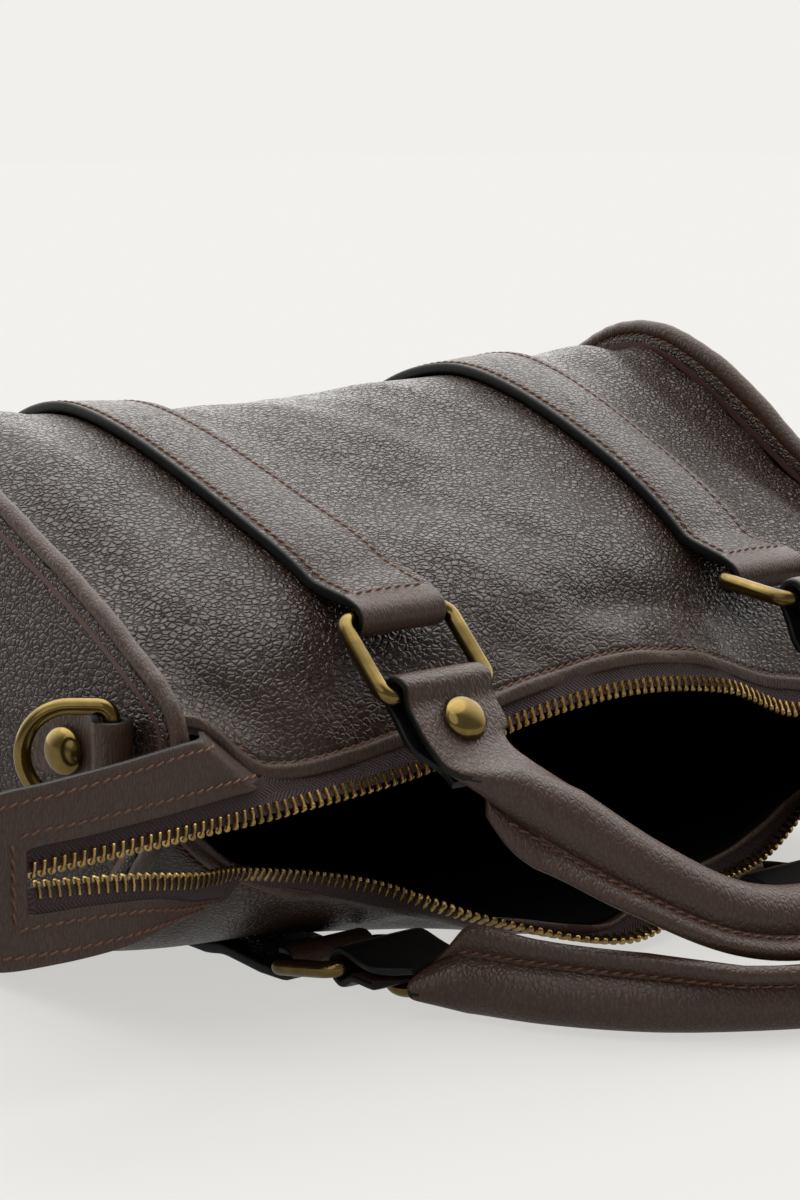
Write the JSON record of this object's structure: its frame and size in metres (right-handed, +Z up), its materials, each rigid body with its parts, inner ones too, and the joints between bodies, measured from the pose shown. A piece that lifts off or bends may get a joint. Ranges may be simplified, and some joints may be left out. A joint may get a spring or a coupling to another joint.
{
  "type": "cargo bag",
  "caption": "Leather cargo bag lying on its back with its zip open, rolled handles on rings, strap bands round the body, D-rings on the ends and tabs at the ends of the zip.",
  "frame": {"origin": "under the middle of the bag's bounding box, on the floor that it lies on", "axes": "+X along the bag from its left end to its right end, +Y from the open mouth to the base of the bag, +Z up out of the front panel"},
  "size_m": [0.392, 0.2638, 0.1451],
  "materials": {
    "pebbled_leather": "pebbled, satin",
    "trim_leather": "smooth, satin",
    "lining_fabric": "matt woven cloth",
    "zip_tape": "herringbone tape",
    "antique_brass": "polished and darkened",
    "zip_brass": "polished"
  },
  "bodies": {
    "bag": {"main_panel": "pebbled_leather", "end_panel_left": "pebbled_leather", "end_panel_right": "pebbled_leather", "edge_binding_left": "trim_leather", "edge_binding_right": "trim_leather", "strap_left": "pebbled_leather", "strap_right": "pebbled_leather", "handle_front": "trim_leather", "handle_back": "trim_leather", "zip_tab_left": "trim_leather", "zip_tab_right": "trim_leather", "d_ring_loop_left": "trim_leather", "d_ring_loop_right": "trim_leather", "lining": "lining_fabric", "zip_tape_front": "zip_tape", "zip_tape_back": "zip_tape", "zip_teeth_front": "zip_brass", "zip_teeth_back": "zip_brass", "zip_slider": "zip_brass", "ring_front_left": "antique_brass", "ring_front_right": "antique_brass", "ring_back_left": "antique_brass", "ring_back_right": "antique_brass", "rivet_front_left": "antique_brass", "rivet_front_right": "antique_brass", "rivet_back_left": "antique_brass", "rivet_back_right": "antique_brass", "rivet_end_left": "antique_brass", "rivet_end_right": "antique_brass"},
    "left_d_ring": {"d_ring_left": "antique_brass"},
    "right_d_ring": {"d_ring_right": "antique_brass"}
  },
  "joints": [
    {"name": "left_d_ring_swing", "type": "hinge", "parent": "bag", "child": "left_d_ring", "pos_m": [-0.1402, -0.03086, 0.07], "axis": [0, 0, 1], "range_deg": [-20, 75]},
    {"name": "right_d_ring_swing", "type": "hinge", "parent": "bag", "child": "right_d_ring", "pos_m": [0.1402, -0.03086, 0.07], "axis": [0, 0, -1], "range_deg": [-20, 75]}
  ]
}
